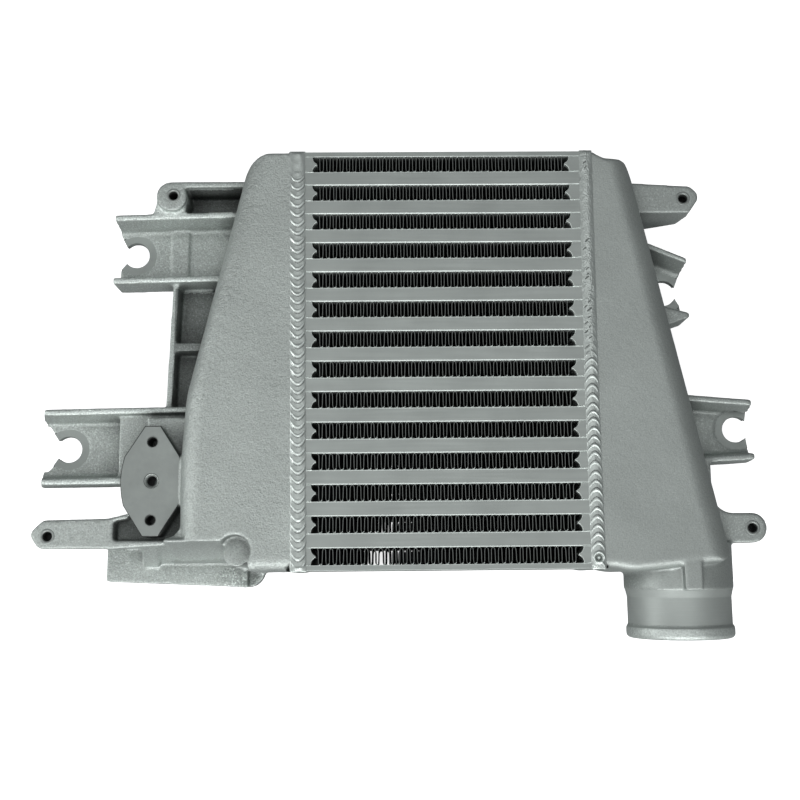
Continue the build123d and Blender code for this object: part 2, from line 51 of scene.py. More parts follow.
# Each ear's hole: x, y, the ear's top and bottom, and how deep the thread goes
EARS = {
    "upper_left": (-151.2, 97.0, 48.0, 23.5, 24.3),
    "lower_left": (-213.0, -94.7, 50.0, 42.0, 7.8),
    "upper_right": (139.0, 93.8, 48.0, 40.0, 7.8),
    "lower_right": (168.1, -93.2, 44.0, 36.0, 7.8),
}
PAD_X, PAD_Y, PAD_TOP = -157.4, -65.8, 54.0
PAD_HOLE_DY, PAD_PORT_R = 21.0, 2.6
SPIGOT_X, SPIGOT_Z = 128.3, 33.0


def core(x, y, z):
    """A point given in core millimetres, in the row frame in metres."""
    return Vector(((x + CORE_X) * MM, (y + CORE_Y) * MM, z * MM))


def row_y(number):
    """The middle of a fin row; row 1 is the lowest in the photograph."""
    return (number - (ROWS + 1) / 2) * PITCH


def placed(name, data):
    """A new object in the scene."""
    obj = bpy.data.objects.new(name, data)
    bpy.context.scene.collection.objects.link(obj)
    return obj


def evaluated_mesh(obj):
    """A new mesh of the object with its modifiers applied."""
    graph = bpy.context.evaluated_depsgraph_get()
    return bpy.data.meshes.new_from_object(obj.evaluated_get(graph))


def vectors(items, key):
    """A vector of each vertex or face of a mesh, as the rows of an array."""
    flat = np.empty(len(items) * 3)
    items.foreach_get(key, flat)
    return flat.reshape(-1, 3)


# Materials

def shader(name, color, rough, metal=0.0):
    mat = bpy.data.materials.new(name)
    mat.use_nodes = True
    tree = mat.node_tree
    bsdf = tree.nodes["Principled BSDF"]
    bsdf.inputs["Base Color"].default_value = (*color, 1)
    bsdf.inputs["Roughness"].default_value = rough
    bsdf.inputs["Metallic"].default_value = metal
    return mat, tree, bsdf


def wire(tree, a, out, b, into):
    tree.links.new(a.outputs[out], b.inputs[into])


def coords(tree, scale=(1, 1, 1)):
    tc = tree.nodes.new("ShaderNodeTexCoord")
    mp = tree.nodes.new("ShaderNodeMapping")
    mp.inputs["Scale"].default_value = scale
    wire(tree, tc, "Object", mp, "Vector")
    return mp


def noise_node(tree, mp, scale, detail=2.0, rough=0.5):
    n = tree.nodes.new("ShaderNodeTexNoise")
    n.inputs["Scale"].default_value = scale
    n.inputs["Detail"].default_value = detail
    n.inputs["Roughness"].default_value = rough
    wire(tree, mp, "Vector", n, "Vector")
    return n


def ramp(tree, source, out, *stops):
    """A colour ramp; each stop is its position and a level of grey or a colour."""
    r = tree.nodes.new("ShaderNodeValToRGB")
    while len(r.color_ramp.elements) < len(stops):
        r.color_ramp.elements.new(0.5)
    for e, (pos, col) in zip(r.color_ramp.elements, stops):
        e.position = pos
        e.color = (*(col if isinstance(col, tuple) else (col,) * 3), 1)
    wire(tree, source, out, r, "Fac")
    return r


def bump(tree, bsdf, source, out, strength, distance, before=None):
    b = tree.nodes.new("ShaderNodeBump")
    b.inputs["Strength"].default_value = strength
    b.inputs["Distance"].default_value = distance
    wire(tree, source, out, b, "Height")
    if before:
        wire(tree, before, "Normal", b, "Normal")
    wire(tree, b, "Normal", bsdf, "Normal")
    return b


def grey(v):
    """A slightly green grey, as the photographed metal is."""
    return (v * 0.92, v, v * 0.96)


def painted_crevice_shade(tree, source, out, reach, floor_tone):
    """Paints shade into a colour where other surfaces stand close around it."""
    near = tree.nodes.new("ShaderNodeAmbientOcclusion")
    near.samples = 8
    near.inputs["Distance"].default_value = reach
    shade = ramp(tree, near, "AO", (0.22, floor_tone), (0.6, 0.66), (0.84, 1.0))
    return product(tree, source, out, shade, 1.0)


def product(tree, a, out, b, amount):
    mix = tree.nodes.new("ShaderNodeMixRGB")
    mix.blend_type = "MULTIPLY"
    mix.inputs["Fac"].default_value = amount
    wire(tree, a, out, mix, "Color1")
    wire(tree, b, "Color", mix, "Color2")
    return mix


def painted_glints(tree, mp, base, out, share):
    """Bright specks painted in as glints of a coarse cast skin, below the tanks' upper faces only.
    """
    specks = noise_node(tree, mp, 1050.0, 2.0, 0.7)
    spots = ramp(tree, specks, "Fac", (0.53, 0.0), (0.66, 1.0))
    height = tree.nodes.new("ShaderNodeSeparateXYZ")
    wire(tree, mp, "Vector", height, "Vector")
    low = ramp(tree, height, "Z", (0.046, share), (0.054, 0.0))
    amount = product(tree, spots, "Color", low, 1.0)
    mix = tree.nodes.new("ShaderNodeMixRGB")
    mix.inputs["Color2"].default_value = (*grey(0.95), 1)
    wire(tree, amount, "Color", mix, "Fac")
    wire(tree, base, out, mix, "Color1")
    return mix


def cast_material(name, value, grain, grain_scale, strength, share):
    """A cast skin: uneven in tone, grainy, with painted shade in its corners and a share of painted
    glints.
    """
    mat, tree, bsdf = shader(name, grey(value), 0.5, 0.7)
    mp = coords(tree)
    broad = noise_node(tree, mp, 28.0, 3.0)
    fine = noise_node(tree, mp, grain_scale, 2.5, 0.6)
    tone = ramp(tree, broad, "Fac", (0.3, grey(value * 0.93)), (0.7, grey(value * 1.06)))
    speck = ramp(tree, fine, "Fac", (0.25, 0.66), (0.5, 1.0), (0.78, 1.25))
    mix = product(tree, tone, "Color", speck, grain)
    # painted glints
    painted_highlight = painted_glints(tree, mp, mix, "Color", share)
    # painted shade in the corners
    painted_shade = painted_crevice_shade(tree, painted_highlight, "Color", 0.015, 0.3)
    wire(tree, painted_shade, "Color", bsdf, "Base Color")
    rr = ramp(tree, fine, "Fac", (0.2, 0.60), (0.8, 0.44))
    wire(tree, rr, "Color", bsdf, "Roughness")
    lumps = noise_node(tree, mp, grain_scale * 0.38, 2.0)
    b1 = bump(tree, bsdf, lumps, "Fac", strength * 0.6, 0.0009)
    bump(tree, bsdf, fine, "Fac", strength, 0.0006, b1)
    return mat


def satin_material(name, value, rough, metal, streak=(30, 900, 900), strength=0.05):
    """A drawn or machined metal with fine lines along the axis of the smallest streak value."""
    mat, tree, bsdf = shader(name, grey(value), rough, metal)
    mp = coords(tree, streak)
    lines = noise_node(tree, mp, 1.0, 3.0)
    mp2 = coords(tree)
    broad = noise_node(tree, mp2, 45.0, 3.0)
    tone = ramp(tree, broad, "Fac", (0.3, grey(value * 0.93)), (0.7, grey(value * 1.07)))
    wire(tree, tone, "Color", bsdf, "Base Color")
    rr = ramp(tree, lines, "Fac", (0.25, rough + 0.08), (0.75, rough - 0.08))
    wire(tree, rr, "Color", bsdf, "Roughness")
    bump(tree, bsdf, lines, "Fac", strength, 0.0003)
    return mat


cast_left = cast_material("cast_rough", 0.54, 0.85, 1150.0, 0.60, 0.5)
# Copies of the cast skin: the darker ones carry painted shade, the lightest a painted highlight on
# the ribs' tops, and the coarse one is a rougher skin
cast_shade = cast_material("cast_shade", 0.27, 0.85, 1150.0, 0.60, 0.2)
cast_coarse = cast_material("cast_coarse", 0.47, 1.0, 800.0, 1.0, 1.0)
rib_painted_highlight = cast_material("rib_painted_highlight", 0.74, 1.0, 1000.0, 0.8, 0.9)
cast_half_shade = cast_material("cast_half_shade", 0.43, 0.85, 1150.0, 0.60, 0.2)
cast_right = cast_material("cast_fine", 0.45, 0.45, 1300.0, 0.22, 0.35)
lip_metal = cast_material("lip_rough", 0.62, 0.7, 1000.0, 0.5, 0.6)
bar_metal = satin_material("bar_metal", 0.41, 0.5, 0.7)
machined = satin_material("machined", 0.36, 0.5, 0.7, (400, 400, 400), 0.03)
turned = satin_material("turned", 0.44, 0.55, 0.5, (60, 1500, 60), 0.10)
weld_metal = satin_material("weld_metal", 0.56, 0.44, 0.7, (300, 300, 300), 0.12)
# painted highlight for the weld ripples' crests and painted shade for the lines between them
weld_crest_highlight = satin_material("weld_crest_highlight", 0.92, 0.40, 0.4, (300, 300, 300), 0.05)
weld_line_shade = satin_material("weld_line_shade", 0.20, 0.55, 0.5, (300, 300, 300), 0.05)
braze_and_highlight_edge = satin_material("braze_and_highlight_edge", 0.90, 0.40, 0.4, (500, 500, 500), 0.12)
# the fins' sides are near black for painted shade, their top and bottom edges a lighter grey
fin_in_shade = satin_material("fin_in_shade", 0.03, 0.6, 0.3)
fin_edge = satin_material("fin_edge", 0.18, 0.5, 0.4)
braze_tip_highlight = satin_material("braze_tip_highlight", 0.92, 0.4, 0.3)
dark_strip = satin_material("turbulator_metal", 0.25, 0.5, 0.6)
# near black for painted shadow in threads, bores and thin gaps
groove = satin_material("groove_shadow", 0.05, 0.7, 0.2)
seat_metal = satin_material("seat_metal", 0.41, 0.5, 0.7, (400, 400, 400), 0.03)

# The manifold side casting's materials, and the number of each in its mesh
LEFT_MATS = (cast_left, cast_shade, cast_coarse, rib_painted_highlight, cast_half_shade)
PLAIN, SHADE, COARSE, RIB_HIGHLIGHT, HALF_SHADE = range(5)


def paint(obj, *mats):
    obj.data.materials.clear()
    for m in mats:
        obj.data.materials.append(m)


def bevelled(obj, width):
    """Rounds the edges by a width in millimetres; a second material, a bright braze colour that is
    also a painted highlight, takes the rounded faces.
    """
    weld = obj.modifiers.new("weld", "WELD")
    weld.merge_threshold = 1e-5
    bev = obj.modifiers.new("bevel", "BEVEL")
    bev.width = width * MM
    bev.segments = 2
    bev.limit_method = "ANGLE"
    bev.angle_limit = math.radians(40)
    if len(obj.data.materials) > 1:
        bev.material = 1


for name, obj in nodes.items():
    if name.startswith(("charge_tube", "air_end_bars", "side_plate")):
        # the bevelled edges are bright: braze and a painted highlight
        paint(obj, bar_metal, braze_and_highlight_edge)
        bevelled(obj, 0.5 if name.startswith("charge_tube") else 0.2)
    elif name.startswith("turbulator"):
        paint(obj, dark_strip)


def mesh_piece(name, verts, faces, mats, indices=None, smooth=True):
    """A piece from points in metres with the given materials; it rides on the only body."""
    mesh = bpy.data.meshes.new(name)
    mesh.from_pydata([tuple(v) for v in verts], [], faces)
    for mat in mats:
        mesh.materials.append(mat)
    if indices is not None:
        mesh.polygons.foreach_set("material_index", indices)
    mesh.polygons.foreach_set("use_smooth", [smooth] * len(mesh.polygons))
    mesh.update()
    piece = placed(name, mesh)
    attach(piece, "root")
    return piece


# Cooling fins: one folded strip for each row

LEG_STEPS = 8
FIN_LEVELS = (0.0, 0.04, 0.28, 0.5, 0.72, 0.96, 1.0)


def drop(verts, faces, x, y, z, size):
    """A small eight-sided drop of braze."""
    base = len(verts)
    for dx, dy, dz in ((size, 0, 0), (0, size * 0.7, 0), (-size, 0, 0), (0, -size * 0.7, 0),
                       (0, 0, size * 0.8), (0, 0, -size * 2)):
        verts.append(core(x + dx, y + dy, z + dz))
    for n in range(4):
        m = (n + 1) % 4
        faces.append((base + n, base + m, base + 4))
        faces.append((base + m, base + n, base + 5))


def fin_row(number):
    """A folded strip with uneven legs, and the braze that holds its folds to the tubes."""
    legs, length, stock = 74, 135.8, 0.30
    swing = (FIN_H - stock) / 2 - 0.02
    window_x, window_half = -37.5, 5.0  # where the lowest row's fins stand straight
    low_bow, high_bow = 1.3, 1.75
    step = length / legs
    middle_y = row_y(number)
    low, high = CORE_BOTTOM + 1.2, CORE_TOP - 1.2
    rng = random.Random(700 + number)
    shift = [rng.gauss(0, 0.11) for _ in range(legs + 1)]
    lean = [rng.gauss(0, 0.10) for _ in range(legs + 1)]
    line = []
    for n in range(legs * LEG_STEPS + 1):
        t = n / LEG_STEPS
        k = min(int(t), legs - 1)
        f = t - k
        wobble = shift[k] * (1 - f) + shift[k + 1] * f + lean[k] * math.sin(math.pi * f)
        x = -length / 2 + step * (t + 0.15 * math.sin(2 * math.pi * t)) + wobble
        wave = math.cos(math.pi * t)
        y = swing * math.copysign(abs(wave) ** 0.55, wave)
        line.append((min(max(x, -length / 2), length / 2), y))
    pts = np.array(line)
    tangent = np.gradient(pts, axis=0)
    tangent /= np.maximum(np.linalg.norm(tangent, axis=1, keepdims=True), 1e-9)
    normal = np.stack([-tangent[:, 1], tangent[:, 0]], axis=1)
    sides = [pts + normal * stock / 2, pts - normal * stock / 2]
    count = len(pts)
    verts = []
    for level in FIN_LEVELS:
        z = low + (high - low) * level
        straight = np.exp(-((pts[:, 0] - window_x) / window_half) ** 2) if number == 1 else 0.0
        bow = (low_bow if number < 3 else high_bow) * math.sin(math.pi * level) * (1 - straight)
        for side in sides:
            x = np.clip(side[:, 0] + bow, -length / 2, length / 2)
            verts += [core(a, b + middle_y, z) for a, b in zip(x, side[:, 1])]
    faces, indices = [], []
    for n in range(count - 1):
        near_tip = math.cos(math.pi * n / LEG_STEPS) < -0.8
        for lv in range(len(FIN_LEVELS) - 1):
            base = lv * 2 * count
            up = base + 2 * count
            # the top of each fold on the -Y side takes a painted highlight on its braze
            tip = 1 if near_tip and lv >= len(FIN_LEVELS) - 2 else 0
            far, up_far = base + count, up + count
            faces.append((base + n, base + n + 1, up + n + 1, up + n))
            faces.append((far + n + 1, far + n, up_far + n, up_far + n + 1))
            indices += [tip, tip]
        top = (len(FIN_LEVELS) - 1) * 2 * count
        faces.append((top + n, top + n + 1, top + count + n + 1, top + count + n))
        faces.append((n + 1, n, count + n, count + n + 1))
        indices += [1 if near_tip else 2, 2]
    for k in range(1, legs):
        at = pts[k * LEG_STEPS]
        low_crest = at[1] < 0
        size = rng.uniform(0.25, 0.5) * (1.0 if low_crest else 0.75)
        z = CORE_TOP - (0.35 if low_crest else 1.0)
        drop(verts, faces, at[0], middle_y + math.copysign(FIN_H / 2 - 0.12, at[1]), z, size)
        # the braze drops take the painted highlight too
        indices += [1] * 8
    piece = mesh_piece(f"fin_strip_{number:02d}", verts, faces,
                       [fin_in_shade, braze_tip_highlight, fin_edge], indices, smooth=False)
    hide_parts(f"air_fin_{number:02d}")


def braze_lines():
    """The uneven lines of braze between the short end bars and the tubes."""
    rng = random.Random(77)
    steps = 14
    verts, faces = [], []
    for number in range(1, ROWS + 1):
        middle_y = row_y(number)
        for side in (-1, 1):
            for edge in (-1, 1):
                start, length = rng.uniform(70.2, 71.0), rng.uniform(3.5, 5.5)
                base = len(verts)
                for n in range(steps + 1):
                    f = n / steps
                    x = side * (start + length * f)
                    y = middle_y + edge * FIN_H / 2 + rng.gauss(0, 0.06)
                    w = rng.uniform(0.14, 0.36) * (1.0 if edge < 0 else 0.6) * (1 - f ** 4)
                    h = rng.uniform(0.10, 0.30) * (1 - f ** 4)
                    for dy, dz in ((-w, -0.05), (0, h), (w, -0.05)):
                        verts.append(core(x, y + dy, CORE_TOP + dz))
                for n in range(steps):
                    for k in range(2):
                        b = base + n * 3 + k
                        faces.append((b, b + 3, b + 4, b + 1))
    mesh_piece("braze_lines", verts, faces, [weld_metal], smooth=False)


# Cast tanks: the CAD's own form with softened edges and an uneven cast skin

# Each drilled hole: x, y, radius, lower and upper end
DRILLED = [(x, y, DRILL_R, bottom, top) for x, y, top, bottom, _depth in EARS.values()]
DRILLED += [(PAD_X, PAD_Y + dy, r, bottom, PAD_TOP)
            for dy, r, bottom in ((-PAD_HOLE_DY, DRILL_R, 42.0), (PAD_HOLE_DY, DRILL_R, 42.0),
                                  (0.0, PAD_PORT_R, 36.0))]
# Boxes of the manifold side casting that take painted shade, each given by its low and its high
# corner
LADDER_POCKETS = (-150.0, -24.5, 27.0), (-112.0, 45.0, 42.0)
TOP_POCKET = (-143.5, 88.0, 27.0), (-104.0, 102.0, 45.0)
FOOT = (-153.0, -111.0, 12.2), (-118.0, -99.0, 40.0)
# Boxes whose skin is higher than elsewhere, and by how much
FLANGE_PATCH = (-113.0, -124.0, 4.0), (-99.0, -114.0, 20.0), 4.0
BLOCK_PATCH = (-162.0, -53.0, 40.0), (-141.0, -30.0, 50.0), 2.0
ARM_PATCH = (-200.0, -36.0, 26.0), (-160.0, -30.0, 34.0), 1.5
BOSS_X, BOSS_Y = -110.9, -104.6


def grain_field(points, scale, seed):
    """A smooth uneven field in -1..1 at each point, from a sum of seeded waves."""
    rng = np.random.default_rng(seed)
    total = np.zeros(len(points))
    for _ in range(24):
        way = rng.normal(size=3)
        way /= np.linalg.norm(way)
        total += np.sin(points @ (way * 2 * math.pi / (scale * rng.uniform(0.6, 1.8)))
                        + rng.uniform(0, 2 * math.pi))
    return total / 24 * 2.2


def cast_piece(name, node, mats, skin, skin_strength, finish):
    """A casting's own solid with rounded edges and an uneven skin of the given height.

    skin_strength and finish take points in core millimetres; finish picks one of mats.
    """
    voxel, passes, keep = 0.85, 5, 0.46
    mesh = nodes[node].data.copy()
    bm = bmesh.new()
    bm.from_mesh(mesh)
    bmesh.ops.remove_doubles(bm, verts=bm.verts, dist=2e-6)
    bm.to_mesh(mesh)
    bm.free()
    work = placed("work", mesh)
    grid = work.modifiers.new("grid", "REMESH")
    grid.mode = "VOXEL"
    grid.voxel_size = voxel * MM
    soft = work.modifiers.new("soft", "SMOOTH")
    soft.factor = 0.5
    soft.iterations = passes
    mesh = evaluated_mesh(work)
    place = vectors(mesh.vertices, "co") / MM - CORE_CENTRE
    normal = vectors(mesh.vertices, "normal")
    field = 0.6 * grain_field(place, 9.0, 11) + 0.4 * grain_field(place, 3.2, 12)
    mask = skin_strength(place)
    for x, y, r, z0, z1 in DRILLED:
        d = np.hypot(place[:, 0] - x, place[:, 1] - y)
        near = (d < r + 1.6) & (place[:, 2] > z0 - 2) & (place[:, 2] < z1 + 2)
        mask[near] = 0
        inside = (d < r + 0.2) & (d > r - 1.0) & (place[:, 2] > z0 - 1) & (place[:, 2] < z1 + 1)
        grow = (r + 0.2) / np.maximum(d[inside], 1e-3)
        place[inside, 0] = x + (place[inside, 0] - x) * grow
        place[inside, 1] = y + (place[inside, 1] - y) * grow
    place = place + normal * (field * skin * mask)[:, None]
    place = (place + CORE_CENTRE) * MM
    mesh.vertices.foreach_set("co", place.ravel())
    mesh.update()
    work.modifiers.clear()
    work.data = mesh
    thin = work.modifiers.new("thin", "DECIMATE")
    thin.ratio = keep
    final = evaluated_mesh(work)
    bpy.data.objects.remove(work)
    final.name = name
    final.materials.clear()
    for mat in mats:
        final.materials.append(mat)
    middles = vectors(final.polygons, "center") / MM - CORE_CENTRE
    final.polygons.foreach_set("material_index", finish(middles))
    final.polygons.foreach_set("use_smooth", [True] * len(final.polygons))
    piece = placed(name, final)
    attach(piece, "root")
    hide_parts(node)


def lathe(name, start, along, profile, mats, turns, parts):
    """A turned form: profile lists (distance along the axis, radius) in millimetres.

    parts holds the first and last ring of each stretch that takes the second material.
    """
    along = Vector(along).normalized()
    across = along.orthogonal().normalized()
    third = along.cross(across)
    verts, faces, indices = [], [], []
    for d, r in profile:
        for n in range(turns):
            a = 2 * math.pi * n / turns
            outward = across * math.cos(a) + third * math.sin(a)
            verts.append(start + along * (d * MM) + outward * (r * MM))
    for k in range(len(profile) - 1):
        indices += [int(any(a <= k < b for a, b in parts))] * turns
        for n in range(turns):
            m = (n + 1) % turns
            faces.append((k * turns + n, k * turns + m, (k + 1) * turns + m, (k + 1) * turns + n))
    mesh_piece(name, verts, faces, mats, indices)


def threaded_hole(name, x, y, top, depth, land):
    """The crisp rim, countersink and thread of a drilled hole in a cast boss; the thread takes
    painted shadow.
    """
    radius, sink, pitch = DRILL_R, 0.5, 1.0
    profile = [(0.35, land), (-0.06, land - 0.25), (-0.06, radius + sink), (sink, radius)]
    d = sink
    while d < depth - pitch:
        profile += [(d + 0.25, radius - 0.02), (d + 0.5, radius + 0.16), (d + 0.75, radius - 0.02)]
        d += pitch
    profile += [(depth, radius - 0.02), (depth, 0.01)]
    lathe(name, core(x, y, top), (0, 0, -1), profile, [machined, groove], 40, [(3, len(profile))])


def window(p, low, high, soft=1.5):
    """1 inside a box of core millimetres, falling to 0 over a soft distance outside it."""
    inside = np.ones(len(p))
    for axis in range(3):
        gap = np.maximum(np.maximum(low[axis] - p[:, axis], p[:, axis] - high[axis]), 0.0)
        inside *= np.clip(1 - gap / soft, 0.0, 1.0)
    return inside


def left_skin(p):
    """The gasket face and the sensor pad are smooth; three patches are coarse."""
    pad = (p[:, 2] > 52.8) & (np.hypot(p[:, 0] - PAD_X, (p[:, 1] - PAD_Y) * 0.5) < 18)
    strength = np.where((p[:, 2] < 0.8) | pad, 0.0, 1.0)
    for low, high, more in (FLANGE_PATCH, BLOCK_PATCH, ARM_PATCH):
        strength += more * window(p, low, high)
    return np.where(pad, 0.0, strength)


def left_finish(p):
    """The finish of each face, from its middle.

    The pockets between the ribs, the duct's foot and the boss beside it take painted shade, the
    ribs' tops a painted highlight, and one patch of the flange is coarse.
    """
    x, y, z = p.T
    index = np.full(len(p), PLAIN, dtype=np.int32)
    # painted shade in the pockets between the ribs and in the pocket above them
    for low, high in (LADDER_POCKETS, TOP_POCKET):
        index[window(p, low, high, 0.01) > 0.5] = SHADE
    # painted highlight on the ribs' tops
    index[(z > 43.3) & (z < 45.2) & (x < -118.0) & (y > -72.0)] = RIB_HIGHLIGHT
    # painted shade low on the duct's foot, up to an uneven edge
    edge = 17.0 + 0.2 * (x + 153.0) + 3.0 * grain_field(p, 5.0, 14)
    index[(window(p, *FOOT, 0.01) > 0.5) & (z < edge)] = HALF_SHADE
    # painted shade in the scoop above the boss and on the boss's left side
    from_boss = np.hypot(x - BOSS_X, y - BOSS_Y)
    index[(from_boss < 9.4) & (z > 57.4) & (z < 66.0)] = HALF_SHADE
    index[(from_boss < 8.0) & (x < -115.4) & (z > 12.2) & (z < 54.0)] = HALF_SHADE
    d = np.hypot((x + 117.0) / 14.0, (y + 119.0) / 8.0) + 0.25 * grain_field(p, 4.0, 13)
    index[(d < 1.0) & (z < 20.0) & (z > 1.0)] = COARSE
    return index


def right_skin(p):
    """The turned hose spigot is smooth."""
    turned_part = (p[:, 1] < -126.5) & (np.hypot(p[:, 0] - SPIGOT_X, p[:, 2] - SPIGOT_Z) < 33)
    return np.where(turned_part, 0.0, 1.0)


def right_finish(p):
    """The hose side casting has one finish."""
    return np.zeros(len(p), dtype=np.int32)


def seat_ring(name, x, y, side, reach, high, low, ribs, mouth=4.7):
    """The spot-faced seat around a grommet slot, with a fine line of painted shadow around it.

    high and low are the outer corners (u, v) of the slot's mouth, mouth is half its inner
    opening, and ribs are the v of the ribs' feet, which cut the seat off.
    """
    inner, outer, line_w = 7.25, 11.9, 0.4
    bore_z, seat_z, line_z, foot_z = 27.0, 27.66, 27.64, 26.9
    lip_u = math.sqrt(7.2 ** 2 - mouth ** 2)

    def limit(a):
        """How far out the seat runs in the direction a, counted from the mouth's axis."""
        u, v = math.cos(a), math.sin(a)
        far = outer
        corner = high if v > 0 else low
        du, dv = corner[0] - lip_u, abs(corner[1]) - mouth
        spread = u * dv - abs(v) * du
        if spread > 1e-6:
            far = min(far, (lip_u * dv - mouth * du) / spread)
        if u > 1e-6:
            far = min(far, (reach - 0.2) / u)
        if abs(v) > 1e-6:
            far = min(far, abs(ribs[0] if v > 0 else ribs[1]) / abs(v))
        return far

    verts, faces, indices = [], [], []
    turns = 96
    start = math.atan2(mouth, lip_u) + 0.01
    for n in range(turns + 1):
        a = start + (2 * math.pi - 2 * start) * n / turns
        far = max(limit(a), inner + 0.02)
        cut_off = far < outer - 1e-6
        groove_w, foot_w = (0.0, 0.02) if cut_off else (line_w, line_w)
        heights = ((inner, bore_z), (inner + 0.25, seat_z), (far, seat_z),
                   (far + groove_w, line_z), (far + foot_w, foot_z))
        for r, z in heights:
            verts.append(core(x + side * r * math.cos(a), y + r * math.sin(a), z))
    for n in range(turns):
        for k in range(4):
            b = n * 5 + k
            faces.append((b, b + 1, b + 6, b + 5) if side > 0 else (b + 5, b + 6, b + 1, b))
            indices.append(1 if k >= 2 else 0)
    mesh_piece(name, verts, faces, [seat_metal, groove], indices, smooth=False)


def pad_plate(name, grow, z, mat):
    """A thin plate with the sensor pad's outline and its three holes."""
    port_rim, hole_rim = 4.3, 3.0
    end_x, end_y, side_x, side_y, bow_x = 4.0, 29.3, 14.4, 13.0, 16.2
    bow = []
    for n in range(13):
        y = side_y * (1 - n / 6)
        bow.append((side_x + (bow_x - side_x) * (1 - (y / side_y) ** 2), y))
    outline = [(-end_x, end_y), (end_x, end_y)]
    outline += bow + [(end_x, -end_y), (-end_x, -end_y)] + [(-x, y) for x, y in reversed(bow)]
    curve = bpy.data.curves.new(name, "CURVE")
    curve.dimensions = "2D"
    curve.fill_mode = "BOTH"
    rings = [[(PAD_X + x, PAD_Y + y) for x, y in outline]]
    for dy, r in ((PAD_HOLE_DY, hole_rim), (0.0, port_rim), (-PAD_HOLE_DY, hole_rim)):
        rings.append([(PAD_X + r * math.cos(2 * math.pi * n / 40),
                       PAD_Y + dy + r * math.sin(2 * math.pi * n / 40)) for n in range(40)])
    for ring in rings:
        spline = curve.splines.new("POLY")
        spline.points.add(len(ring) - 1)
        for point, (x, y) in zip(spline.points, ring):
            point.co = ((x + CORE_X) * MM, (y + CORE_Y) * MM, 0, 1)
        spline.use_cyclic_u = True
    half_thick, rounding = 0.5, 0.12
    curve.extrude = half_thick * MM
    curve.bevel_depth = rounding * MM
    curve.bevel_resolution = 1
    curve.offset = grow * MM
    holder = placed(name, curve)
    mesh = evaluated_mesh(holder)
    bpy.data.objects.remove(holder)
    mesh.transform(Matrix.Translation((0, 0, (z - half_thick - rounding) * MM)))
    mesh.materials.clear()
    mesh.materials.append(mat)
    piece = placed(name, mesh)
    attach(piece, "root")


def sensor_pad():
    """The machined face of the sensor pad, a painted shadow around its outline, and its three
    holes.
    """
    face = PAD_TOP + 0.06
    pad_plate("pad_face", -0.1, face, machined)
    pad_plate("pad_shadow_outline", 0.3, face - 0.2, groove)
    for name, dy in (("upper", PAD_HOLE_DY), ("lower", -PAD_HOLE_DY)):
        threaded_hole("pad_hole_" + name, PAD_X, PAD_Y + dy, face, 12.0, 3.2)
    # the port's bore below its countersink takes painted shadow
    profile = [(0.3, 4.6), (-0.05, 4.3), (1.7, PAD_PORT_R), (17.9, PAD_PORT_R), (17.9, 3.4)]
    lathe("pad_port", core(PAD_X, PAD_Y, PAD_TOP), (0, 0, -1), profile, [machined, groove], 48,
          [(2, 4)])


def spigot_pipe():
    """The turned hose spigot: lip, fine turned rings on the pipe, and the bore."""
    droop = math.radians(1.0)
    start = core(SPIGOT_X, -151.6, SPIGOT_Z)
    axis = (0, math.cos(droop), math.sin(droop))
    lip_r, round_r, lip_l, pipe_r, pipe_l = 28.85, 2.5, 7.5, 27.77, 27.0
    flare_from, ring_pitch = 22.0, 0.45
    profile = [(34.0, 24.8), (0.9, 24.8), (0.25, 25.05), (0.0, 25.5)]
    for n in range(9):
        a = math.pi / 2 * n / 8
        profile.append((round_r * (1 - math.cos(a)), lip_r - round_r + round_r * math.sin(a)))
    for n in range(9):
        a = math.pi / 2 * n / 8
        r = lip_r - round_r + round_r * math.cos(a)
        if r > pipe_r:
            profile.append((lip_l - round_r + round_r * math.sin(a), r))
    lip_end = len(profile)
    rings = int((pipe_l - lip_l) / ring_pitch)
    for n in range(rings + 1):
        d = lip_l + ring_pitch * n
        flare = max(0.0, d - flare_from) * 0.24
        profile.append((d, pipe_r + flare + (0.022 if n % 2 else -0.01)))
    lathe("spigot_turned", start, axis, profile, [turned, lip_metal], 160, [(4, lip_end - 3)])


def ripple_strip(verts, faces, indices, columns, rows, place, tone=lambda a, b: 0):
    """Adds a sheet of columns x rows points to a mesh under construction.

    place and tone take how far across and along the sheet a point is, each 0..1. tone gives
    the number of a face's material.
    """
    base = len(verts)
    for j in range(rows):
        for i in range(columns):
            verts.append(place(i / (columns - 1), j / (rows - 1)))
    for j in range(rows - 1):
        for i in range(columns - 1):
            a = base + j * columns + i
            faces.append((a, a + 1, a + columns + 1, a + columns))
            indices.append(tone((i + 0.5) / (columns - 1), (j + 0.5) / (rows - 1)))


def ripple(shape, u, s, beads):
    """How far along its ripple a point of a bead is, 0..1, and the ripple's number.

    u runs across the bead from -1 to 1 and s down it in millimetres. shape is how far a
    ripple's middle lies below its ends; a negative one arches up, with its steep side on top.
    """
    at = s + shape * u * u
    k = min(max(int(np.searchsorted(beads, at)) - 1, 0), len(beads) - 2)
    f = min(max((at - beads[k]) / (beads[k + 1] - beads[k]), 0.0), 1.0)
    return (1 - f if shape < 0 else f), k


def rise(f):
    """The height of a ripple, highest at 0.72 of its length."""
    return math.exp(-((f - 0.72) / 0.13) ** 2) + 0.45 * f


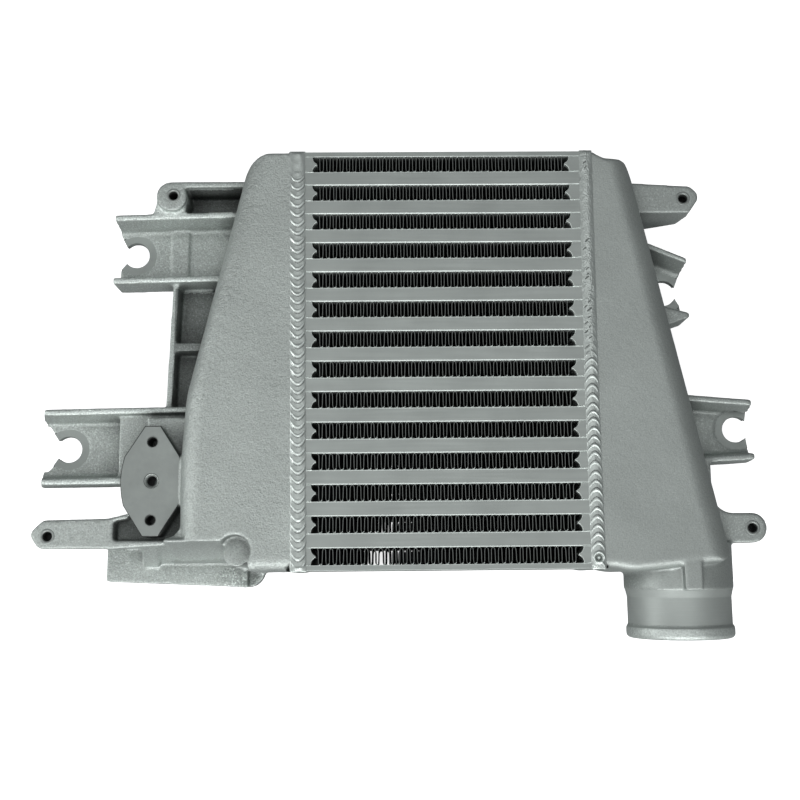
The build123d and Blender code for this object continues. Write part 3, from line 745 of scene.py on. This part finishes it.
def weld_bead(side):
    """The bead around one seam, on the side -1 or 1: its top, both ends and its underside.

    The left bead's ripples sag, the right one's arch; the right one starts with a ground
    stretch with pits, and ends in a crater. s runs down the bead in millimetres.
    """
    name = "left" if side < 0 else "right"
    rng = random.Random(40 + side)
    end_h, end_depth, half_foot = 0.5, 65.0, 4.0
    total = 2 * (CORE_HALF_H + end_h)
    crater = total - 6.0
    pitch, shape = (4.9, 4.4) if side < 0 else (4.6, -4.4)
    beads = [-6.0]
    while beads[-1] < total + 10:
        beads.append(beads[-1] + pitch + rng.gauss(0, 0.35))
    tall = [rng.uniform(0.75, 1.2) for _ in beads]
    shift = [rng.gauss(0, 0.12) for _ in beads]
    seam = side * 80.0
    mats = [weld_metal, weld_crest_highlight, weld_line_shade]
    plain, painted_highlight, painted_shade = range(3)
    pits_at = (8, 11, 53, 57, 68, 71, 74, 86, 89, 92, 95, 98, 101, 104, 107, 111)
    pits = [(s0 + rng.uniform(-1, 1), rng.uniform(-2.3, 0.2), rng.uniform(0.3, 0.6))
            for s0 in (pits_at if side > 0 else ())]

    def in_pit(across, s):
        """Whether a point lies in one of the slanting pits of the ground stretch."""
        for s0, across0, size in pits:
            slant = (s - s0) + 0.8 * (across - across0)
            if (slant / size) ** 2 + ((across - across0) / (2.0 * size)) ** 2 < 1:
                return True
        return False

    def amount(s):
        """How strongly the ripples show along the bead."""
        if side < 0:
            return 0.10 + 0.90 * min(max((s - 12.0) / 5.0, 0.0), 1.0)
        return 0.12 + 0.88 * min(max((s - 100.0) / 30.0, 0.0), 1.0)

    def top(a, b):
        u = 2 * a - 1
        s = total * b
        f, k = ripple(shape, u, s, beads)
        edge = math.sqrt(max(0.0, 1 - u * u))
        lumps = noise.noise(Vector((u * 1.5, s * 0.22, side * 9.0)))
        fine = noise.noise(Vector((u * 6, s * 1.3, side * 5.0)))
        height = 1.5 * (1 - u * u) * (0.8 + 0.15 * lumps)
        height += 0.42 * tall[k] * (rise(f) - 0.3) * amount(s) * edge
        height += (0.07 + 0.13 * (side > 0) * (1 - amount(s))) * fine * edge
        if side < 0:
            middle = seam + 0.7 + 1.9 * s / total
            width = 4.3
        else:
            lower = min(s / 140.0, 1.0)
            middle = seam + 0.3 - 1.65 * lower
            width = 3.7 + 0.2 * lower
            height -= 0.25 * in_pit(3.5 * u, s)
            d = math.hypot(u * width, s - crater)
            rim = 0.5 * math.exp(-((d - 2.7) / 0.6) ** 2)
            height += rim - math.exp(-((d - 1.3) / 0.8) ** 2)
        closing = min(1.0, s / 2.0, (total - s) / 2.0)
        height *= math.sqrt(max(closing, 0.0))
        half = width + 0.25 * noise.noise(Vector((3.0, s * 0.35, side))) + shift[k] * 0.6
        z = CORE_TOP - 0.05 + max(height, -0.02)
        return core(middle + u * half, CORE_HALF_H + end_h - s, z)

    def end_sheet(end):
        def place(a, b):
            u = 2 * a - 1
            s = end_depth * b
            f, k = ripple(3.0, u, s + 30, beads)
            edge = math.sqrt(max(0.0, 1 - u * u))
            height = end_h * (1 - u * u) + 0.25 * tall[k] * (rise(f) - 0.4) * edge
            y = end * (CORE_HALF_H - 0.05 + max(height, 0.0))
            return core(seam + u * half_foot, y, CORE_TOP - s)
        return place

    def under(a, b):
        s = 2 * CORE_HALF_H * b
        f, k = ripple(3.0, 2 * a - 1, s + 3, beads)
        sink = 0.25 * tall[k] * (rise(f) - 0.5) * math.sin(math.pi * a)
        return core(seam - side * half_foot * a, CORE_HALF_H - s, 0.4 + 1.6 * a - sink)

    def tone(a, b):
        """Painted highlight along each ripple's crest and painted shade where it meets the next;
        the pits take painted shade, and the crater rings of both.
        """
        u, s = 2 * a - 1, total * b
        f, _k = ripple(shape, u, s, beads)
        if side > 0 and s > total - 10.0:
            d = math.hypot(u * 3.9, s - crater)
            return painted_shade if 1.0 < d < 1.7 else painted_highlight if 2.3 < d < 3.0 or d < 0.5 else plain
        if in_pit(3.5 * u, s):
            return painted_shade
        if amount(s) < 0.6 or s > total - 3.0:
            return plain
        if f > 0.94 or f < 0.03:
            return painted_shade if abs(u) < 0.92 else plain
        return painted_highlight if 0.60 < f < 0.82 and abs(u) < 0.78 else plain

    verts, faces, indices = [], [], []
    ripple_strip(verts, faces, indices, 45, 860, top, tone)
    ripple_strip(verts, faces, indices, 15, 180, end_sheet(1))
    ripple_strip(verts, faces, indices, 15, 180, end_sheet(-1))
    ripple_strip(verts, faces, indices, 11, 420, under)
    piece = mesh_piece("bead_" + name, verts, faces, mats, indices)
    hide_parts("weld_bead_" + name)


for row in range(1, ROWS + 1):
    fin_row(row)
braze_lines()
cast_piece("cast_manifold_side", "tank_manifold_side", LEFT_MATS, 0.13, left_skin, left_finish)
cast_piece("cast_hose_side", "tank_hose_side", (cast_right,), 0.07, right_skin, right_finish)
sensor_pad()
spigot_pipe()
seat_ring("seat_upper_left", -175.6, 68.0, -1, 9.2, (10.6, 14.6), (9.8, -9.8), (14.0, -14.4))
seat_ring("seat_lower_left", -210.1, -45.4, -1, 12.8, (12.6, 15.4), (10.8, -12.4), (13.6, -14.6))
seat_ring("seat_upper_right", 130.2, 43.4, 1, 10.0, (9.4, 10.2), (10.4, -9.8), (11.0, -11.6), 3.2)
seat_ring("seat_lower_right", 167.3, -36.9, 1, 6.8, (6.8, 11.7), (6.4, -11.0), (10.4, -12.4))
for name, (x, y, top, _bottom, depth) in EARS.items():
    threaded_hole("ear_hole_" + name, x, y, top, depth, 4.2)
weld_bead(-1)
weld_bead(1)


# Camera and light, fitted to the photograph

CAMERA_TILT, CAMERA_YAW, CAMERA_ROLL = 9.73, 0.775, -0.553
CAMERA_X, CAMERA_Y, CAMERA_ABOVE = -31.35, -119.5, 550.41
CAMERA_LENS, CAMERA_SENSOR = 47.25, 36.0
# Each light: its name, its place in metres, its width and height, and its power in watts
LIGHTS = (
    ("overhead", (0.10, 0.25, 1.6), (1.5, 1.2), 6.0),
    ("front", (0.12, -1.25, 0.85), (1.7, 0.6), 18.0),
    ("low_front", (0.12, -1.4, 0.28), (1.9, 0.3), 3.0),
    ("side", (-1.4, 0.0, 0.6), (0.8, 0.5), 8.0),
)


def camera():
    """Looks down on the core's top at the photograph's angle."""
    tilt, yaw, roll = (math.radians(v) for v in (CAMERA_TILT, CAMERA_YAW, CAMERA_ROLL))
    level = math.cos(tilt)
    ahead = Vector((math.sin(yaw) * level, math.sin(tilt), -level * math.cos(yaw)))
    ahead.normalize()
    up = Vector((0, 1, 0))
    up = (up - ahead * up.dot(ahead)).normalized()
    right = ahead.cross(up)
    rolled_right = right * math.cos(roll) + up * math.sin(roll)
    rolled_up = up * math.cos(roll) - right * math.sin(roll)
    turn = Matrix((rolled_right, rolled_up, -ahead)).transposed().to_4x4()
    data = bpy.data.cameras.new("camera")
    data.lens = CAMERA_LENS
    data.sensor_width = CAMERA_SENSOR
    data.clip_start = 0.01
    cam = placed("camera", data)
    eye = core(CAMERA_X, CAMERA_Y, CAMERA_ABOVE + CORE_TOP)
    cam.matrix_world = Matrix.Translation(eye) @ turn
    bpy.context.scene.camera = cam


def area_light(name, place, size, power):
    """A rectangular light that shines at the part's middle."""
    aim = (CORE_X * MM, CORE_Y * MM, 0.03)
    data = bpy.data.lights.new(name, "AREA")
    data.shape = "RECTANGLE"
    data.size, data.size_y = size
    data.energy = power
    lamp = placed(name, data)
    lamp.location = place
    lamp.rotation_euler = (Vector(aim) - Vector(place)).to_track_quat("-Z", "Y").to_euler()


def studio():
    """A dim world, the lights, and a white floor that neither lights the part nor mirrors in it,
    with a disc of painted shade under the manifold side's flange.
    """
    world = bpy.data.worlds.new("studio")
    bpy.context.scene.world = world
    world.use_nodes = True
    background = world.node_tree.nodes["Background"]
    background.inputs["Color"].default_value = (0.95, 0.98, 1.0, 1)
    background.inputs["Strength"].default_value = 0.16
    for light in LIGHTS:
        area_light(*light)
    bpy.ops.mesh.primitive_plane_add(size=8, location=(0, 0, -0.0004))
    floor = bpy.context.object
    floor.name = "floor"
    floor.visible_diffuse = False
    floor.visible_glossy = False
    mat, tree, bsdf = shader("floor_white", (0.9, 0.9, 0.9), 0.9)
    place = tree.nodes.new("ShaderNodeTexCoord")
    away = tree.nodes.new("ShaderNodeVectorMath")
    away.operation = "LENGTH"
    wire(tree, place, "Object", away, 0)
    # no glow within 25 mm of the floor's middle: painted shade under the flange
    glow = ramp(tree, away, "Value", (0.0, 0.0), (0.025, 0.0), (0.028, 1.0))
    wire(tree, glow, "Color", bsdf, "Emission Color")
    bsdf.inputs["Emission Strength"].default_value = 0.8
    paint(floor, mat)
    bpy.context.scene.view_settings.view_transform = "Standard"


camera()
studio()
